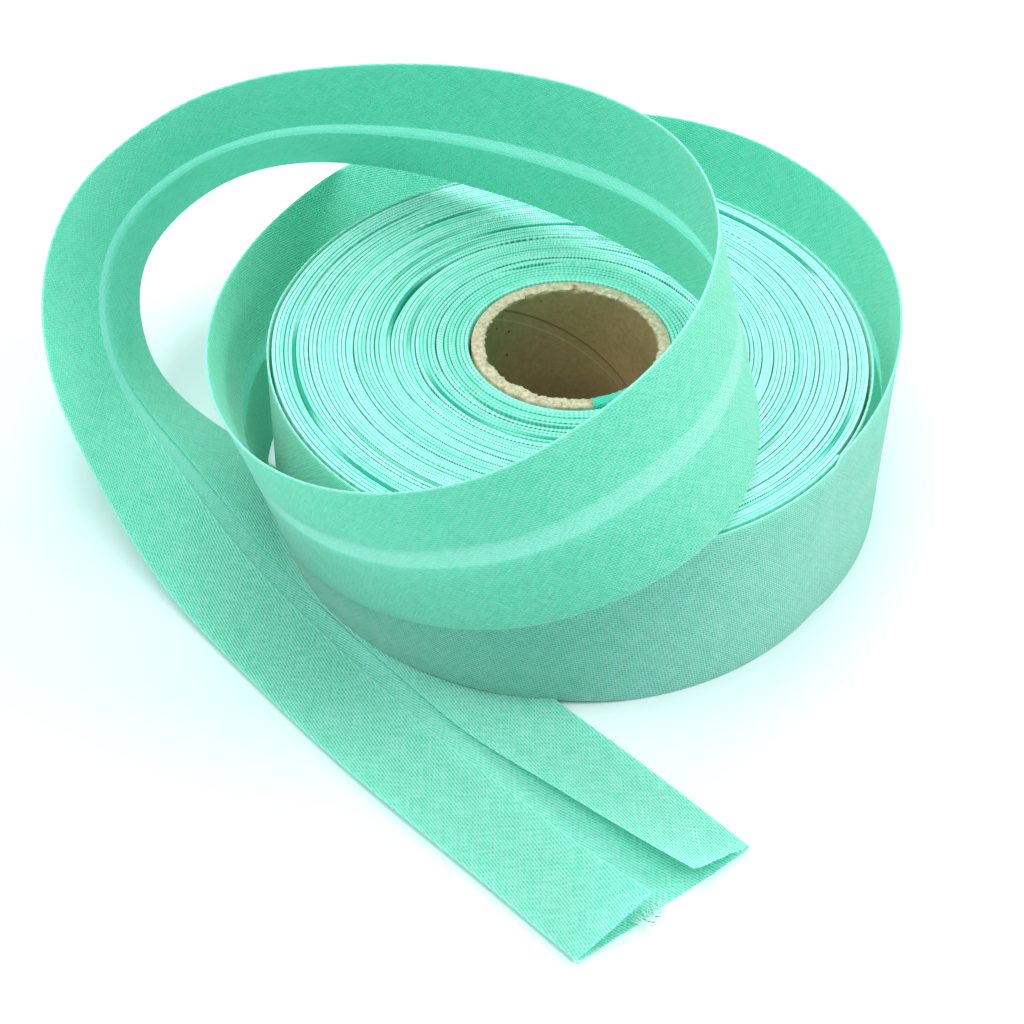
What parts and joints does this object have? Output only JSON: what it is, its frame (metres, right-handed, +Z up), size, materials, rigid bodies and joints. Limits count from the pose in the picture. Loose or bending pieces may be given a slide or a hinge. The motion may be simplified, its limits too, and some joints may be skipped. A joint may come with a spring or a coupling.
{
  "type": "roll of bias binding",
  "caption": "Roll of folded bias tape on a card tube, lying flat, its outer turn sprung loose into a standing loop and a flat tail.",
  "frame": {"origin": "middle of the whole object's bounding box, at the surface it lies on", "axes": "+Z up along the card tube's axis; -Y towards the cut end of the flat tail; the big loop swings out to -X"},
  "size_m": [0.1772, 0.2046, 0.0828],
  "materials": {
    "kraft_card": "plain unglazed kraft card",
    "wound_cloth": "folded edges of tightly wound cotton tape, matt",
    "tape_cloth": "plain-weave cotton cut on the bias, folded and pressed, matt"
  },
  "bodies": {
    "root": {"core_tube": "kraft_card", "wound_roll": "wound_cloth", "loose_tape": "tape_cloth"}
  },
  "joints": []
}
